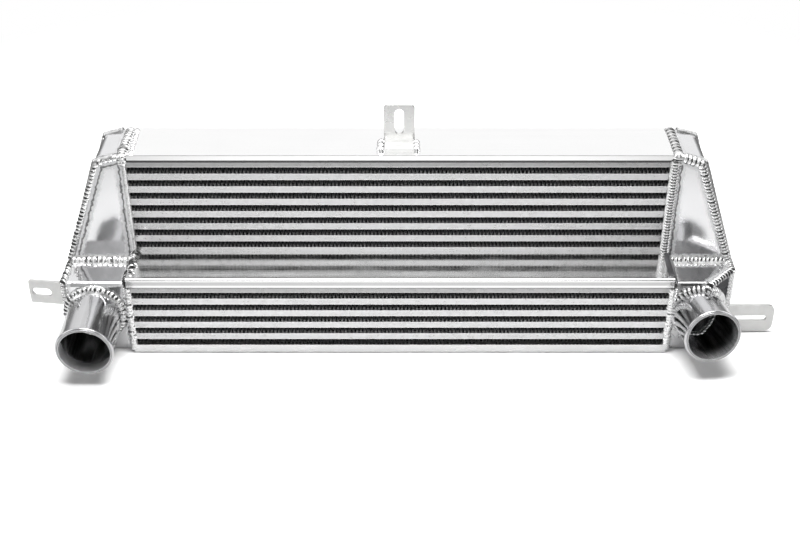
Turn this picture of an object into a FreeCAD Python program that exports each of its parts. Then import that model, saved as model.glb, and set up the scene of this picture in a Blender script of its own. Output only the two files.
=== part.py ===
import FreeCAD
import Part
import math
import os
from FreeCAD import Vector

# Intercooler: a stepped bar-and-plate core between two welded aluminium end tanks.
# Millimetres. X runs across the core, -Y is the front with the hose pipes, +Z is up.
# The origin is the centre of the underside of the core's bottom plate.

# Core, its layers from the bottom up
core_width = 504.0
lower_depth = 98.4
upper_depth = 51.1
lower_air_rows = 6
upper_air_rows = 7
fin_height = 6.62
charge_height = 5.0
sheet_thickness = 0.8
closure_bar_width = 6.0
header_bar_width = 3.0

# Plates round the core
end_plate_thickness = 1.9
lip_height = 9.7
lip_bend_radius = 1.9
top_plate_thickness = 6.6
top_plate_overhang = 1.9

# Corrugated air fins and turbulators
fin_pitch = 3.5
fin_thickness = 0.2
fin_web_run = 1.35
fin_recess = 1.0
turbulator_pitch = 3.4
turbulator_thickness = 0.2
turbulator_web_run = 0.6
turbulator_end_gap = 1.0

# End tanks
tank_wall = 3.0
left_tank_lap = 1.0
right_tank_lap = 4.0
tank_floor_gap = 1.0
cap_run = 25.0
cap_drop = 5.0
tank_reach = 60.5
slope_foot_height = 77.0
cap_bend_radius = 8.0
slope_bend_radius = 7.0
ledge_drop = 9.3
ledge_bend_radius = 4.5
lower_front_setback = 5.35
corner_cut_x = 25.5
corner_cut_y = 22.0

# Hose pipes
pipe_radius = 25.4
pipe_wall = 2.0
pipe_height = 41.8
rim_radius = 26.5
rim_width = 3.0
rim_round = 1.2
rim_setback = 0.8
pipe_reach_in = 66.0
left_pipe_offset = 33.0
left_pipe_length = 58.0
left_pipe_yaw = 0.0
left_pipe_rise = -3.0
right_pipe_offset = 26.3
right_pipe_length = 47.0
right_pipe_yaw = 7.0
right_pipe_rise = 6.5

# Brackets
bracket_thickness = 3.0
top_bracket_width = 28.0
top_bracket_foot = 18.5
top_bracket_height = 39.0
top_bracket_setback = 4.7
top_bracket_shift = -0.7
top_bracket_corner = 4.0
top_slot_width = 8.5
top_slot_length = 25.5
top_slot_bottom = 10.0
left_bracket_arm = 37.0
left_bracket_height = 24.5
left_bracket_bottom = 42.6
left_bracket_front = -32.0
left_bracket_flange = 25.0
left_bracket_turn = 7.0
left_bracket_corner = 1.5
left_slot_width = 8.8
left_slot_length = 19.2
left_slot_start = 15.4
right_bracket_arm = 47.8
right_bracket_height = 29.6
right_bracket_bottom = 2.2
right_bracket_front = -18.0
right_bracket_flange = 28.0
right_bracket_turn = 0.0
right_bracket_corner = 7.5
right_slot_width = 6.0
right_slot_length = 33.0
right_slot_start = 8.0

# Welds
weld_radius = 3.2
weld_sink = 1.2
left_lap_weld_radius = 2.0
right_lap_weld_radius = 3.2
lap_weld_share = 0.53
corner_weld_start = 6.4
smallest_weld_volume = 3.0
ledge_weld_leg = 6.4
ledge_weld_throat = 2.9
step_weld_radius = 4.2
pipe_weld_leg = 5.0
bracket_weld_radius = 2.4
bracket_weld_rise = 0.7
cutter_margin = 3.0

# Sizes that follow from those above
air_rows = lower_air_rows + upper_air_rows
charge_rows = air_rows + 1
layer_pitch = fin_height + charge_height + 2.0 * sheet_thickness
half_width = core_width / 2.0
rear_y = lower_depth / 2.0
lower_front_y = -rear_y
upper_front_y = rear_y - upper_depth
stack_bottom = end_plate_thickness


def charge_z(row):
    """Underside of a charge layer's bars."""
    return stack_bottom + sheet_thickness + row * layer_pitch


def air_z(row):
    """Underside of an air row's fins."""
    return charge_z(row) + charge_height + sheet_thickness


stack_top = charge_z(air_rows) + charge_height + sheet_thickness
core_top = stack_top + top_plate_thickness
ledge_seat = air_z(lower_air_rows - 1) + fin_height + sheet_thickness
ledge_top = ledge_seat + end_plate_thickness

tank_front_y = upper_front_y - tank_wall
tank_ledge_z = ledge_top - ledge_drop
tank_lower_front_y = lower_front_y + lower_front_setback
tank_shoulder_x = half_width + cap_run
tank_shoulder_z = core_top - cap_drop
tank_side_x = half_width + tank_reach
tank_bottom_z = tank_floor_gap

LEFT = -1
RIGHT = 1


def box(x0, x1, y0, y1, z0, z1):
    """Block between two corners, in any order of the X values."""
    low, high = min(x0, x1), max(x0, x1)
    return Part.makeBox(high - low, y1 - y0, z1 - z0, Vector(low, y0, z0))


def closed_face(points):
    return Part.Face(Part.makePolygon(points + points[:1]))


def prism_xz(outline, y0, y1):
    """Solid with its outline drawn from the front, run from y0 back to y1."""
    face = closed_face([Vector(x, y0, z) for x, z in outline])
    return face.extrude(Vector(0, y1 - y0, 0))


def prism_yz(outline, x0, x1):
    """Solid with its outline drawn from the side, run from x0 to x1."""
    low, high = min(x0, x1), max(x0, x1)
    face = closed_face([Vector(low, y, z) for y, z in outline])
    return face.extrude(Vector(high - low, 0, 0))


def prism_xy(outline, z0, z1):
    """Solid with its outline drawn from above, run from z0 up to z1."""
    face = closed_face([Vector(x, y, z0) for x, y in outline])
    return face.extrude(Vector(0, 0, z1 - z0))


def round_edges(solid, places, axis, radius):
    """Round the edges that run along one axis through the given places."""
    chosen = []
    others = [i for i in range(3) if i != axis]
    for edge in solid.Edges:
        ends = [vertex.Point for vertex in edge.Vertexes]
        if len(ends) != 2:
            continue
        for place in places:
            near = all(abs(end[others[k]] - place[k]) < 0.01 for end in ends for k in (0, 1))
            if near:
                chosen.append(edge)
                break
    return solid.makeFillet(radius, chosen)


def fused(solids):
    shape = solids[0]
    for other in solids[1:]:
        shape = shape.fuse(other)
    return shape.removeSplitter()


def save(name, solids):
    """Write one piece, or one group of like pieces, as a STEP file."""
    shape = solids[0] if len(solids) == 1 else Part.makeCompound(solids)
    shape.exportStep("parts/" + name + ".step")
    print(name, len(shape.Solids), "solids", round(shape.Volume / 1000.0, 2), "cm3", shape.isValid())


def mirrored(side, points):
    return [(side * x, y) for x, y in points]


# Corrugated sheet: webs joined by flat crests that seat on the parting sheets

def corrugation(start, stop, pitch, height, thickness, run):
    """Outline of a corrugated sheet, along and up, standing on zero."""
    waves = max(2, round((stop - start) / pitch))
    half_pitch = (stop - start) / waves / 2.0
    wide = thickness * math.hypot(height, run) / height
    above = []
    below = []
    for web in range(2 * waves):
        middle = start + (web + 0.5) * half_pitch
        turn = 1.0 if web % 2 == 0 else -1.0

        def web_x(z, edge):
            return middle + turn * run * (height / 2.0 - z) / height + turn * edge * wide / 2.0

        if web % 2 == 0:
            above += [(web_x(height, 1), height), (web_x(thickness, 1), thickness)]
            below += [(web_x(height - thickness, -1), height - thickness), (web_x(0, -1), 0.0)]
        else:
            above += [(web_x(thickness, 1), thickness), (web_x(height, 1), height)]
            below += [(web_x(0, -1), 0.0), (web_x(height - thickness, -1), height - thickness)]
    above = [(start, height)] + above + [(stop, height)]
    below = [(start, height - thickness)] + below + [(stop, height - thickness)]
    return above + below[::-1]


def row_front(row):
    return lower_front_y if row < lower_air_rows else upper_front_y


def air_fin(row):
    edge = half_width - header_bar_width
    shape = corrugation(-edge, edge, fin_pitch, fin_height, fin_thickness, fin_web_run)
    base = air_z(row)
    placed = [(x, z + base) for x, z in shape]
    return prism_xz(placed, row_front(row) + fin_recess, rear_y - fin_recess)


def turbulator(row):
    front = row_front(row) + closure_bar_width
    back = rear_y - closure_bar_width
    shape = corrugation(front, back, turbulator_pitch, charge_height,
                        turbulator_thickness, turbulator_web_run)
    base = charge_z(row)
    placed = [(y, z + base) for y, z in shape]
    inner = half_width - turbulator_end_gap
    return prism_yz(placed, -inner, inner)


def closure_bar(row, front):
    """Long bar that closes a charge layer along its front or its rear."""
    y0 = row_front(row) if front else rear_y - closure_bar_width
    z0 = charge_z(row)
    return box(-half_width, half_width, y0, y0 + closure_bar_width, z0, z0 + charge_height)


def header_bar(row, side):
    """Short bar that closes an air row at one end, from front to rear."""
    inner = side * (half_width - header_bar_width)
    z0 = air_z(row)
    return box(inner, side * half_width, row_front(row), rear_y, z0, z0 + fin_height)


def parting_sheet(z0, front):
    return box(-half_width, half_width, front, rear_y, z0, z0 + sheet_thickness)


def build_core():
    lower_rows = range(lower_air_rows)
    upper_rows = range(lower_air_rows, air_rows)
    upper_charge_rows = range(lower_air_rows, charge_rows)

    save("front_bars_lower", [closure_bar(row, True) for row in lower_rows])
    save("front_bars_upper", [closure_bar(row, True) for row in upper_charge_rows])
    save("rear_bars", [closure_bar(row, False) for row in range(charge_rows)])
    for side, name in ((LEFT, "left"), (RIGHT, "right")):
        save(name + "_header_bars_lower", [header_bar(row, side) for row in lower_rows])
        save(name + "_header_bars_upper", [header_bar(row, side) for row in upper_rows])

    lower_sheets = [charge_z(row) - sheet_thickness for row in range(lower_air_rows + 1)]
    lower_sheets += [charge_z(row) + charge_height for row in lower_rows]
    upper_sheets = [charge_z(row) - sheet_thickness for row in range(lower_air_rows + 1, charge_rows)]
    upper_sheets += [charge_z(row) + charge_height for row in upper_charge_rows]
    save("parting_sheets_lower", [parting_sheet(z0, lower_front_y) for z0 in lower_sheets])
    save("parting_sheets_upper", [parting_sheet(z0, upper_front_y) for z0 in upper_sheets])

    for row in range(air_rows):
        save("air_fin_row_%02d" % (row + 1), [air_fin(row)])
    save("turbulators_lower", [turbulator(row) for row in lower_rows])
    save("turbulators_upper", [turbulator(row) for row in upper_charge_rows])

    front = upper_front_y - top_plate_overhang
    back = rear_y + top_plate_overhang
    save("core_top_plate", [box(-half_width, half_width, front, back, stack_top, core_top)])
    save("core_ledge_plate", [ledge_plate()])
    save("core_bottom_plate", [bottom_plate()])


def ledge_plate():
    """Sheet on the step of the core, its front edge folded down as a lip."""
    outer_y = lower_front_y - end_plate_thickness
    outline = [(upper_front_y, ledge_top), (outer_y, ledge_top), (outer_y, ledge_top - lip_height),
               (lower_front_y, ledge_top - lip_height), (lower_front_y, ledge_seat),
               (upper_front_y, ledge_seat)]
    sheet = prism_yz(outline, -half_width, half_width)
    return round_edges(sheet, [(outer_y, ledge_top)], 0, lip_bend_radius)


def bottom_plate():
    """Sheet under the core, folded up as a lip along the front and the rear."""
    front = lower_front_y - end_plate_thickness
    back = rear_y + end_plate_thickness
    outline = [(front, 0.0), (back, 0.0), (back, lip_height), (rear_y, lip_height),
               (rear_y, stack_bottom), (lower_front_y, stack_bottom),
               (lower_front_y, lip_height), (front, lip_height)]
    sheet = prism_yz(outline, -half_width, half_width)
    return round_edges(sheet, [(front, 0.0), (back, 0.0)], 0, lip_bend_radius)


# End tanks

def inward(line, distance):
    """The same line, drawn one wall further in: points run from the core out and down."""
    (x0, z0), (x1, z1) = line
    length = math.hypot(x1 - x0, z1 - z0)
    shift_x = (z1 - z0) / length * distance
    shift_z = -(x1 - x0) / length * distance
    return (x0 + shift_x, z0 + shift_z), (x1 + shift_x, z1 + shift_z)


def crossing(first, second):
    """Point where two lines in a plane cross."""
    (ax, az), (bx, bz) = first
    (cx, cz), (dx, dz) = second
    across = (bx - ax) * (dz - cz) - (bz - az) * (dx - cx)
    share = ((cx - ax) * (dz - cz) - (cz - az) * (dx - cx)) / across
    return ax + share * (bx - ax), az + share * (bz - az)


def tank_profile():
    """Outer line of a tank seen from the front: joint, shoulder, slope foot, bottom."""
    return [(half_width, core_top), (tank_shoulder_x, tank_shoulder_z),
            (tank_side_x, slope_foot_height), (tank_side_x, tank_bottom_z)]


def inner_profile():
    outer = tank_profile()
    lines = [inward(pair, tank_wall) for pair in zip(outer[:-1], outer[1:])]
    joint = ((half_width, 0.0), (half_width, core_top))
    start = crossing(lines[0], joint)
    shoulder = crossing(lines[0], lines[1])
    foot = crossing(lines[1], lines[2])
    return [start, shoulder, foot, (tank_side_x - tank_wall, tank_bottom_z)]


def side_front_y(side):
    """Where the straight part of the side wall starts, behind the front or the cut corner."""
    return tank_lower_front_y + (corner_cut_y if side == RIGHT else tank_wall)


def plan_outline(side, y_back):
    """Outline of a tank from above, at the ledge."""
    front = tank_lower_front_y
    if side == RIGHT:
        corner = [(tank_side_x - corner_cut_x, front), (tank_side_x, front + corner_cut_y)]
    else:
        corner = [(tank_side_x, front)]
    points = [(half_width, front)] + corner + [(tank_side_x, y_back), (half_width, y_back)]
    return mirrored(side, points)


def outer_shell(side):
    """Top cap, sloping wall and side wall, folded from one sheet."""
    outer = tank_profile()
    inner = inner_profile()
    outline = mirrored(side, outer + inner[::-1])
    tall = prism_xz(outline, upper_front_y, rear_y - tank_wall)
    outer_bends = mirrored(side, [outer[1]])
    inner_bends = mirrored(side, [inner[1]])
    tall = round_edges(tall, outer_bends, 1, cap_bend_radius)
    tall = round_edges(tall, inner_bends, 1, cap_bend_radius - tank_wall)
    tall = round_edges(tall, mirrored(side, [outer[2]]), 1, slope_bend_radius)
    tall = round_edges(tall, mirrored(side, [inner[2]]), 1, slope_bend_radius - tank_wall)
    low = box(side * (tank_side_x - tank_wall), side * tank_side_x, side_front_y(side),
              upper_front_y, tank_bottom_z, tank_ledge_z - tank_wall)
    return fused([tall, low])


def upper_front_plate(side):
    """Flat plate over the shell's front edge; it laps over the core's end."""
    outer = tank_profile()
    foot = outer[2]
    lap_x = half_width - (right_tank_lap if side == RIGHT else left_tank_lap)
    points = outer[:3] + [(foot[0], tank_ledge_z), (half_width, tank_ledge_z),
                          (half_width, ledge_top), (lap_x, ledge_top),
                          (lap_x, stack_top), (half_width, stack_top)]
    plate = prism_xz(mirrored(side, points), tank_front_y, upper_front_y)
    plate = round_edges(plate, mirrored(side, [outer[1]]), 1, cap_bend_radius)
    return round_edges(plate, mirrored(side, [outer[2]]), 1, slope_bend_radius)


def pipe_axis(side):
    """Start on the lower front face, and direction, of a hose pipe."""
    offset = right_pipe_offset if side == RIGHT else left_pipe_offset
    yaw = math.radians(right_pipe_yaw if side == RIGHT else left_pipe_yaw)
    rise = math.radians(right_pipe_rise if side == RIGHT else left_pipe_rise)
    start = Vector(side * (half_width + offset), tank_lower_front_y, pipe_height)
    level = math.cos(rise)
    return start, Vector(side * math.sin(yaw) * level, -math.cos(yaw) * level, math.sin(rise))


def pipe_cylinder(side, radius, length_out):
    """Round bar on the pipe's axis, from inside the tank out past the front face."""
    start, way = pipe_axis(side)
    return Part.makeCylinder(radius, pipe_reach_in + length_out, start - way * pipe_reach_in, way)


def pipe_length(side):
    return right_pipe_length if side == RIGHT else left_pipe_length


def ledge_front_plate(side):
    """Ledge and lower front of a tank, one sheet folded along the front edge."""
    front = tank_lower_front_y
    top = tank_ledge_z
    outline = [(upper_front_y, top), (front, top), (front, tank_bottom_z),
               (front + tank_wall, tank_bottom_z), (front + tank_wall, top - tank_wall),
               (upper_front_y, top - tank_wall)]
    inner_bend = ledge_bend_radius - tank_wall
    sheet = prism_yz(outline, side * half_width, side * tank_side_x)
    sheet = round_edges(sheet, [(front, top)], 0, ledge_bend_radius)
    sheet = round_edges(sheet, [(front + tank_wall, top - tank_wall)], 0, inner_bend)
    if side == RIGHT:
        sheet = sheet.common(prism_xy(plan_outline(side, rear_y), tank_bottom_z, top))
        fold_x = tank_side_x - corner_cut_x
        below = box(fold_x, tank_side_x, front, upper_front_y, tank_bottom_z, top - tank_wall)
        sheet = sheet.cut(below)
    return sheet.cut(pipe_cylinder(side, pipe_radius, pipe_length(side)))


def corner_plate(folded_sheet, shell):
    """Flat plate across the cut front corner of the right tank, between its neighbours."""
    start, stop = corner_line()
    inner_start, inner_stop = inward((start, stop), -tank_wall)
    plate = prism_xy([start, stop, inner_stop, inner_start], tank_bottom_z, tank_ledge_z - tank_wall)
    plate = plate.cut(folded_sheet).cut(shell)
    return plate.cut(pipe_cylinder(RIGHT, pipe_radius, pipe_length(RIGHT)))


def rear_plate(side):
    """Flat rear wall with the same outline as the shell."""
    outer = tank_profile()
    points = outer + [(half_width, tank_bottom_z)]
    plate = prism_xz(mirrored(side, points), rear_y - tank_wall, rear_y)
    plate = round_edges(plate, mirrored(side, [outer[1]]), 1, cap_bend_radius)
    return round_edges(plate, mirrored(side, [outer[2]]), 1, slope_bend_radius)


def tank_bottom_plate(side, walls):
    """Flat bottom that fits between the walls."""
    plate = prism_xy(plan_outline(side, rear_y), tank_bottom_z, tank_bottom_z + tank_wall)
    for wall in walls:
        plate = plate.cut(wall)
    return plate


def corner_line():
    """The cut front corner of the right tank, seen from above."""
    return ((tank_side_x - corner_cut_x, tank_lower_front_y),
            (tank_side_x, tank_lower_front_y + corner_cut_y))


def hose_pipe(side):
    """Straight tube through the front wall, with a low rolled rim at its mouth."""
    start, way = pipe_axis(side)
    length = pipe_length(side)
    tube = pipe_cylinder(side, pipe_radius, length)
    rim_start = start + way * (length - rim_setback - rim_width)
    rim = Part.makeCylinder(rim_radius, rim_width, rim_start, way)
    edges = [edge for edge in rim.Edges if len(edge.Vertexes) == 1]
    rim = rim.makeFillet(rim_round, edges)
    tube = tube.fuse(rim).cut(pipe_cylinder(side, pipe_radius - pipe_wall, length))
    front = tank_lower_front_y + tank_wall
    inner = [(0.0, front), (tank_side_x, front), (tank_side_x, rear_y), (0.0, rear_y)]
    if side == RIGHT:
        inside = inward(corner_line(), -tank_wall)
        first = crossing(inside, ((0.0, front), (1.0, front)))
        last = crossing(inside, ((tank_side_x, 0.0), (tank_side_x, 1.0)))
        inner = [inner[0], first, last, inner[2], inner[3]]
    chamber = prism_xy(mirrored(side, inner), 0.0, tank_ledge_z)
    return tube.cut(chamber)


# Brackets

def slot_cutter(x0, z0, x1, z1, width, y0, y1):
    """Round-ended slot through a plate, between the centres of its two ends."""
    radius = width / 2.0
    deep = y1 - y0
    ends = [Part.makeCylinder(radius, deep, Vector(x, y0, z), Vector(0, 1, 0))
            for x, z in ((x0, z0), (x1, z1))]
    if abs(x1 - x0) > abs(z1 - z0):
        middle = box(x0, x1, y0, y1, z0 - radius, z0 + radius)
    else:
        middle = box(x0 - radius, x0 + radius, y0, y1, min(z0, z1), max(z0, z1))
    return fused(ends + [middle])


def top_bracket():
    """Angle folded from one strip: foot on the top plate, slotted upright behind it."""
    low_x = top_bracket_shift - top_bracket_width / 2.0
    high_x = low_x + top_bracket_width
    front = upper_front_y + top_bracket_setback
    back = front + top_bracket_foot
    top = core_top + top_bracket_height
    t = bracket_thickness
    outline = [(front, core_top), (back, core_top), (back, top), (back - t, top),
               (back - t, core_top + t), (front, core_top + t)]
    angle = prism_yz(outline, low_x, high_x)
    angle = round_edges(angle, [(back, core_top)], 0, t)
    corners = [(low_x, top), (high_x, top)]
    angle = round_edges(angle, corners, 1, top_bracket_corner)
    radius = top_slot_width / 2.0
    slot_low = core_top + top_slot_bottom + radius
    slot_high = core_top + top_slot_bottom + top_slot_length - radius
    middle = (low_x + high_x) / 2.0
    return angle.cut(slot_cutter(middle, slot_low, middle, slot_high, top_slot_width,
                                 back - t - cutter_margin, back + cutter_margin))


def side_bracket(side):
    """Angle folded from one strip: flange on the tank's side wall, slotted arm outwards."""
    if side == RIGHT:
        arm, height, bottom = right_bracket_arm, right_bracket_height, right_bracket_bottom
        front, flange, turn = right_bracket_front, right_bracket_flange, right_bracket_turn
        corner, width, length = right_bracket_corner, right_slot_width, right_slot_length
        begin = right_slot_start
    else:
        arm, height, bottom = left_bracket_arm, left_bracket_height, left_bracket_bottom
        front, flange, turn = left_bracket_front, left_bracket_flange, left_bracket_turn
        corner, width, length = left_bracket_corner, left_slot_width, left_slot_length
        begin = left_slot_start
    t = bracket_thickness
    wall = tank_side_x
    plate = box(wall + t / 2.0, wall + arm, front, front + t, bottom, bottom + height)
    tips = [(wall + arm, bottom), (wall + arm, bottom + height)]
    plate = round_edges(plate, tips, 1, corner)
    radius = width / 2.0
    middle = bottom + height / 2.0
    plate = plate.cut(slot_cutter(wall + begin + radius, middle, wall + begin + length - radius,
                                  middle, width, front - cutter_margin, front + t + cutter_margin))
    plate.rotate(Vector(wall, front, 0), Vector(0, 0, 1), turn)
    back = box(wall, wall + t, front, front + flange, bottom, bottom + height)
    angle = fused([plate, back])
    if side == LEFT:
        angle = angle.mirror(Vector(0, 0, 0), Vector(1, 0, 0))
    return angle


# Welds: round beads laid along the seams, cut to the plates that they join

def bead(points, radius):
    path = [Vector(*point) for point in points]
    runs = [Part.makeCylinder(radius, (b - a).Length, a, b - a) for a, b in zip(path[:-1], path[1:])]
    knees = [Part.makeSphere(radius, point) for point in path[1:-1]]
    return fused(runs + knees)


def tank_block(side):
    """Whole space inside a tank's outer faces, which no weld bead reaches into."""
    outer = tank_profile()
    points = outer + [(half_width, tank_bottom_z)]
    tall = prism_xz(mirrored(side, points), tank_front_y, rear_y)
    tall = round_edges(tall, mirrored(side, [outer[1]]), 1, cap_bend_radius)
    tall = round_edges(tall, mirrored(side, [outer[2]]), 1, slope_bend_radius)
    return tall.fuse(prism_xy(plan_outline(side, 0.0), tank_bottom_z, tank_ledge_z))


def welded(beads, plates):
    """Each bead without what the plates fill, as clean solids."""
    pieces = []
    for shape in beads:
        for plate in plates:
            if shape.BoundBox.intersect(plate.BoundBox):
                shape = shape.cut(plate)
        pieces += [solid for solid in shape.Solids if solid.Volume > smallest_weld_volume]
    return pieces


def core_blocks():
    """Plain envelopes of the core, which the tank welds lie against."""
    return [box(-half_width, half_width, lower_front_y, rear_y, 0.0, ledge_top),
            box(-half_width, half_width, upper_front_y, rear_y, ledge_top, core_top),
            box(-half_width, half_width, upper_front_y - top_plate_overhang,
                rear_y + top_plate_overhang, stack_top, core_top),
            ledge_plate(), bottom_plate()]


def core_welds(side, plates):
    """Seams between a tank and the core: upper front, top, rear, step and lower front."""
    lap = right_tank_lap if side == RIGHT else left_tank_lap
    radius = right_lap_weld_radius if side == RIGHT else left_lap_weld_radius
    lap_x = side * (half_width - lap)
    joint_x = side * half_width
    sunk_y = tank_front_y + lap_weld_share * radius
    high = core_top - weld_sink
    back = rear_y - weld_sink
    upper = bead([(lap_x, sunk_y, ledge_top + radius), (lap_x, sunk_y, stack_top)], radius)
    over = bead([(joint_x, tank_front_y + weld_sink, stack_top), (joint_x, tank_front_y + weld_sink, high),
                 (joint_x, back, high), (joint_x, back, tank_bottom_z + weld_radius)], weld_radius)
    step = bead([(joint_x, tank_front_y - weld_radius, tank_ledge_z),
                 (joint_x, tank_lower_front_y, tank_ledge_z)], step_weld_radius)
    front = bead([(joint_x, tank_lower_front_y, tank_bottom_z + step_weld_radius),
                  (joint_x, tank_lower_front_y, tank_ledge_z - ledge_bend_radius)], step_weld_radius)
    return welded([fused([upper, over]), fused([step, front])], plates)


def corner_welds(side, plates):
    """Beads along the outer corners of a tank, front and rear."""
    outer = tank_profile()
    shoulder = (outer[1][0] - weld_sink, outer[1][1] - weld_sink)
    foot = (outer[2][0] - weld_sink, outer[2][1])
    front_y = tank_front_y + weld_sink
    back_y = rear_y - weld_sink
    joint = (half_width + corner_weld_start, core_top - weld_sink)
    side_x = side * (tank_side_x - weld_sink)
    low_z = tank_bottom_z + weld_radius

    def along(points, y):
        return [(side * x, y, z) for x, z in points]

    ledge_z = tank_ledge_z - weld_sink
    upper_front = along([joint, shoulder, foot], front_y)
    upper_front += [(side_x, front_y, ledge_z)]
    lower_y = tank_lower_front_y + weld_sink
    if side == RIGHT:
        cut_x = side * (tank_side_x - corner_cut_x)
        edge_y = tank_lower_front_y + corner_cut_y
        ledge_edge = [(side_x, front_y, ledge_z), (side_x, edge_y, ledge_z),
                      (cut_x, lower_y, ledge_z)]
        upright = [(side_x, edge_y, low_z), (side_x, edge_y, ledge_z)]
    else:
        ledge_edge = [(side_x, front_y, ledge_z), (side_x, lower_y, ledge_z)]
        upright = [(side_x, lower_y, low_z), (side_x, lower_y, ledge_z)]
    rear = along([joint, shoulder, foot, (tank_side_x - weld_sink, low_z)], back_y)
    front_bead = fused([bead(upper_front, weld_radius), bead(ledge_edge, weld_radius),
                        bead(upright, weld_radius)])
    return welded([front_bead, bead(rear, weld_radius)], plates)


def ledge_weld(side, plates):
    """Fillet in the inner corner where the upper front plate stands on the ledge."""
    leg = ledge_weld_leg
    y, z = tank_front_y, tank_ledge_z
    throat = ledge_weld_throat
    outline = [(y, z), (y, z + leg), (y - throat, z + throat), (y - leg, z)]
    start = side * (half_width + step_weld_radius)
    run = prism_yz(outline, start, side * (tank_side_x - weld_radius))
    return welded([run], plates)


def pipe_weld(side, plates):
    """Fillet ring round a hose pipe where it leaves the tank."""
    start, way = pipe_axis(side)
    leg = pipe_weld_leg
    ring = Part.makeCone(pipe_radius + leg, pipe_radius, leg, start, way)
    depth = corner_cut_y if side == RIGHT else leg
    ring = ring.fuse(Part.makeCylinder(pipe_radius + leg, depth, start - way * depth, way))
    if side == RIGHT:
        front_y = tank_lower_front_y - leg
        outside = inward(corner_line(), leg)
        knee = crossing(outside, ((0.0, front_y), (1.0, front_y)))
        side_x = tank_side_x + leg
        tail = crossing(outside, ((side_x, 0.0), (side_x, 1.0)))
        around = [(half_width, front_y), knee, tail, (side_x, rear_y), (half_width, rear_y)]
        ring = ring.common(prism_xy(around, 0.0, tank_ledge_z))
    ring = ring.cut(prism_xy(plan_outline(side, rear_y), 0.0, tank_ledge_z))
    ring = ring.cut(pipe_cylinder(side, pipe_radius, pipe_length(side)))
    return welded([ring], plates)


def bracket_weld(side, plates):
    """Beads along the upright edges of a side bracket's flange."""
    if side == RIGHT:
        front, flange = right_bracket_front, right_bracket_flange
        bottom, height = right_bracket_bottom, right_bracket_height
    else:
        front, flange = left_bracket_front, left_bracket_flange
        bottom, height = left_bracket_bottom, left_bracket_height
    x = side * (tank_side_x + bracket_weld_rise)
    beads = []
    for y in (front, front + flange):
        beads.append(bead([(x, y, bottom), (x, y, bottom + height)], bracket_weld_radius))
    return welded(beads, plates)


def top_bracket_welds(plates):
    """Beads along both ends of the top bracket's foot, on the top plate."""
    low_x = top_bracket_shift - top_bracket_width / 2.0
    front = upper_front_y + top_bracket_setback
    z = core_top + bracket_weld_rise
    beads = []
    for x in (low_x, low_x + top_bracket_width):
        beads.append(bead([(x, front, z), (x, front + top_bracket_foot, z)], bracket_weld_radius))
    return welded(beads, plates)


def build_tank(side, name):
    lower_front = ledge_front_plate(side)
    shell = outer_shell(side).cut(lower_front)
    upper_front = upper_front_plate(side)
    rear = rear_plate(side)
    walls = [shell, upper_front, lower_front, rear]
    if side == RIGHT:
        corner = corner_plate(lower_front, shell)
        walls.append(corner)
        save(name + "_tank_corner_plate", [corner])
    bottom = tank_bottom_plate(side, walls)
    pipe = hose_pipe(side)
    bracket = side_bracket(side)
    save(name + "_tank_shell", [shell])
    save(name + "_tank_upper_front", [upper_front])
    save(name + "_tank_ledge_and_front", [lower_front])
    save(name + "_tank_rear_plate", [rear])
    save(name + "_tank_bottom_plate", [bottom])
    save(name + "_hose_pipe", [pipe])
    save(name + "_side_bracket", [bracket])

    pipe_bar = pipe_cylinder(side, pipe_radius, pipe_length(side))
    plates = walls + [bottom, pipe_bar, bracket, tank_block(side)] + core_blocks()
    ring = pipe_weld(side, plates)
    seams = core_welds(side, plates + ring)
    corners = corner_welds(side, plates + ring + seams)
    save(name + "_pipe_weld", ring)
    save(name + "_tank_core_welds", seams)
    save(name + "_tank_corner_welds", corners)
    fillet = ledge_weld(side, plates + seams + corners)
    save(name + "_tank_ledge_weld", fillet)
    save(name + "_bracket_welds", bracket_weld(side, plates + corners))


os.makedirs("parts", exist_ok=True)
build_core()
build_tank(LEFT, "left")
build_tank(RIGHT, "right")
bracket_angle = top_bracket()
save("top_bracket", [bracket_angle])
save("top_bracket_welds", top_bracket_welds([bracket_angle] + core_blocks()))
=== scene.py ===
import math
import bpy
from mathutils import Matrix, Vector


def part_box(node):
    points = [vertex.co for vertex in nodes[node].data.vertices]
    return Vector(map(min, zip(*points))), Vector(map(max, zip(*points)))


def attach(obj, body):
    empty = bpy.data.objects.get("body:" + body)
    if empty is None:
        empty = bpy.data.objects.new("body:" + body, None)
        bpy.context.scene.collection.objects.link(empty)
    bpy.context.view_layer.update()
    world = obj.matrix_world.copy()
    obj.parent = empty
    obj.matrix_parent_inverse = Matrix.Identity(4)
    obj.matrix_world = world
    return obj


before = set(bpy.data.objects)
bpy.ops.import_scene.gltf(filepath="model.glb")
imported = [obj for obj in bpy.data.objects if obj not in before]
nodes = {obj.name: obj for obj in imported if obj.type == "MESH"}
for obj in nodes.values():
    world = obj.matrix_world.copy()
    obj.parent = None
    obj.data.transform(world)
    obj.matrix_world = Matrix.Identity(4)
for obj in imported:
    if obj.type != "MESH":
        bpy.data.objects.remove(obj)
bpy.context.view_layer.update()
scene = bpy.context.scene

# Camera
# It stands in front of the core and a little above it, level from side to side, and looks
# down onto the step and into the mouths of both hose pipes.
camera_place = (0.0, -1.04085, 0.7451)
look_down_degrees = 33.3
camera_pitch = math.radians(90.0 - look_down_degrees)
camera_lens = 58.5
camera_sensor = 36.0

camera_data = bpy.data.cameras.new("camera")
camera_data.lens = camera_lens
camera_data.sensor_width = camera_sensor
camera_data.sensor_fit = "HORIZONTAL"
camera = bpy.data.objects.new("camera", camera_data)
camera.location = camera_place
camera.rotation_euler = (camera_pitch, 0.0, 0.0)
scene.collection.objects.link(camera)
scene.camera = camera
scene.view_settings.view_transform = "Standard"

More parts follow.
